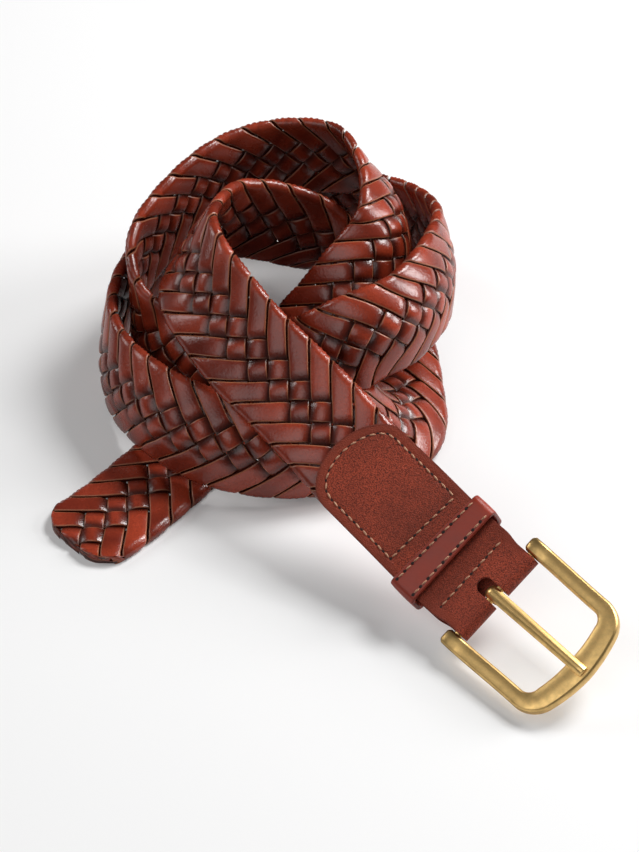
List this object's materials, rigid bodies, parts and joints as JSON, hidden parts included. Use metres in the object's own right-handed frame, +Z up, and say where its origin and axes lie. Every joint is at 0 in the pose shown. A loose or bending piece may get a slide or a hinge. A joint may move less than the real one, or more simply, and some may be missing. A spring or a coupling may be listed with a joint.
{
  "type": "belt",
  "caption": "Braided leather dress belt, lying loosely coiled, with a stitched tab round the bar of a pronged frame buckle and a sliding keeper band",
  "frame": {"origin": "middle of the footprint of the coiled belt, on the surface it lies on", "axes": "+Z up from that surface; +Y away from the buckle towards the far turns of the coil; +X to the right as seen from the buckle's side"},
  "size_m": [0.1836, 0.239, 0.0706],
  "materials": {
    "braided_leather": "smooth waxed hide, red-brown, darker in the gaps and lighter on raw strand edges",
    "tab_leather": "fine speckled grain, red-brown, darker towards its edges",
    "waxed_thread": "twisted waxed thread, light tan",
    "antique_brass": "brushed antique brass, darker in the joints"
  },
  "bodies": {
    "belt": {"braid_strand_1": "braided_leather", "braid_strand_2": "braided_leather", "braid_strand_3": "braided_leather", "braid_strand_4": "braided_leather", "braid_strand_5": "braided_leather", "braid_strand_6": "braided_leather", "braid_strand_7": "braided_leather", "folded_tab": "tab_leather", "tab_outline_seam": "waxed_thread", "bar_seam": "waxed_thread", "cross_seam": "waxed_thread"},
    "keeper": {"keeper_band": "tab_leather", "keeper_seam_near": "waxed_thread", "keeper_seam_far": "waxed_thread"},
    "buckle": {"buckle_frame": "antique_brass", "heel_bar": "antique_brass"},
    "prong": {"prong": "antique_brass"}
  },
  "joints": [
    {"name": "buckle_hinge", "type": "hinge", "parent": "belt", "child": "buckle", "pos_m": [0.05458, -0.08118, 0.01612], "axis": [-0.6821, -0.5384, -0.4949], "range_deg": [0, 40]},
    {"name": "prong_hinge", "type": "hinge", "parent": "buckle", "child": "prong", "pos_m": [0.05458, -0.08118, 0.01612], "axis": [-0.6821, -0.5384, -0.4949], "range_deg": [0, 70]},
    {"name": "keeper_slide", "type": "slide", "parent": "belt", "child": "keeper", "axis": [-0.678, 0.6988, 0.2282], "range_m": [-0.0035, 0.0035]}
  ]
}
